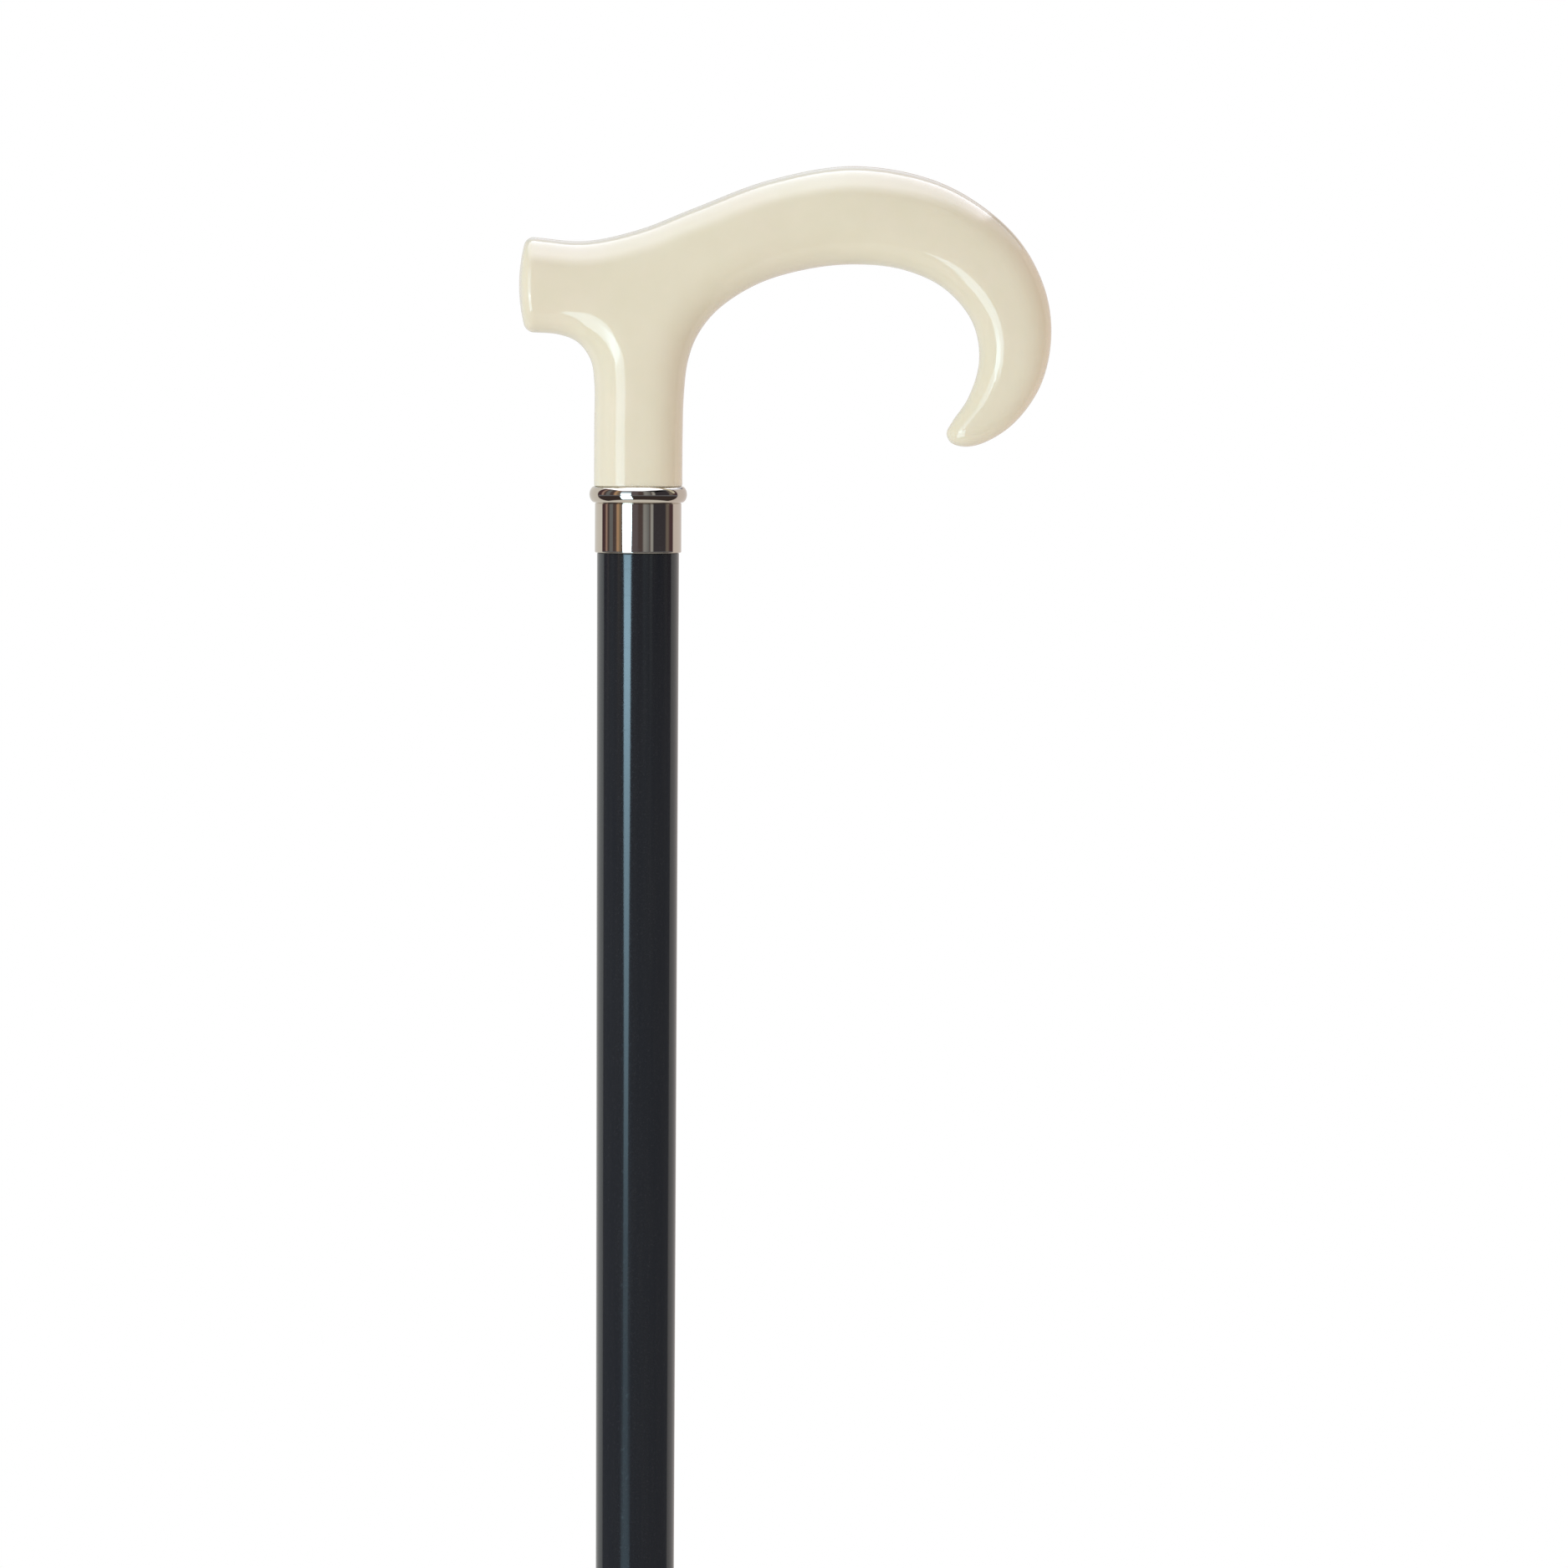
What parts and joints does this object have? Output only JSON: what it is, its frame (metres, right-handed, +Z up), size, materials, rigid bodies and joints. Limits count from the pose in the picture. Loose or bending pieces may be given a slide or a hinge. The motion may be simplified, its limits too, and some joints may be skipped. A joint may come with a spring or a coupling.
{
  "type": "walking cane",
  "caption": "Derby handle walking cane: cream T-shaped crook handle, polished metal collar, tapered black shaft and a push-on rubber ferrule.",
  "frame": {"origin": "middle of the ferrule's foot, on the shaft's axis", "axes": "+Z up along the shaft to the grip, +X the way the hook of the handle points, Y across the handle"},
  "size_m": [0.1297, 0.033, 0.9199],
  "materials": {
    "cream_acrylic": "polished",
    "nickel_plate": "mirror polished",
    "black_lacquer": "semi-gloss lacquer",
    "black_rubber": "matt",
    "brass": "turned",
    "steel": "zinc plated"
  },
  "bodies": {
    "cane": {"handle": "cream_acrylic", "handle_insert": "brass", "joining_screw": "steel", "collar": "nickel_plate", "shaft": "black_lacquer"},
    "ferrule": {"ferrule": "black_rubber", "ferrule_washer": "steel"}
  },
  "joints": [
    {"name": "ferrule_pull", "type": "slide", "parent": "cane", "child": "ferrule", "axis": [0, 0, -1], "range_m": [0, 0.034]}
  ]
}
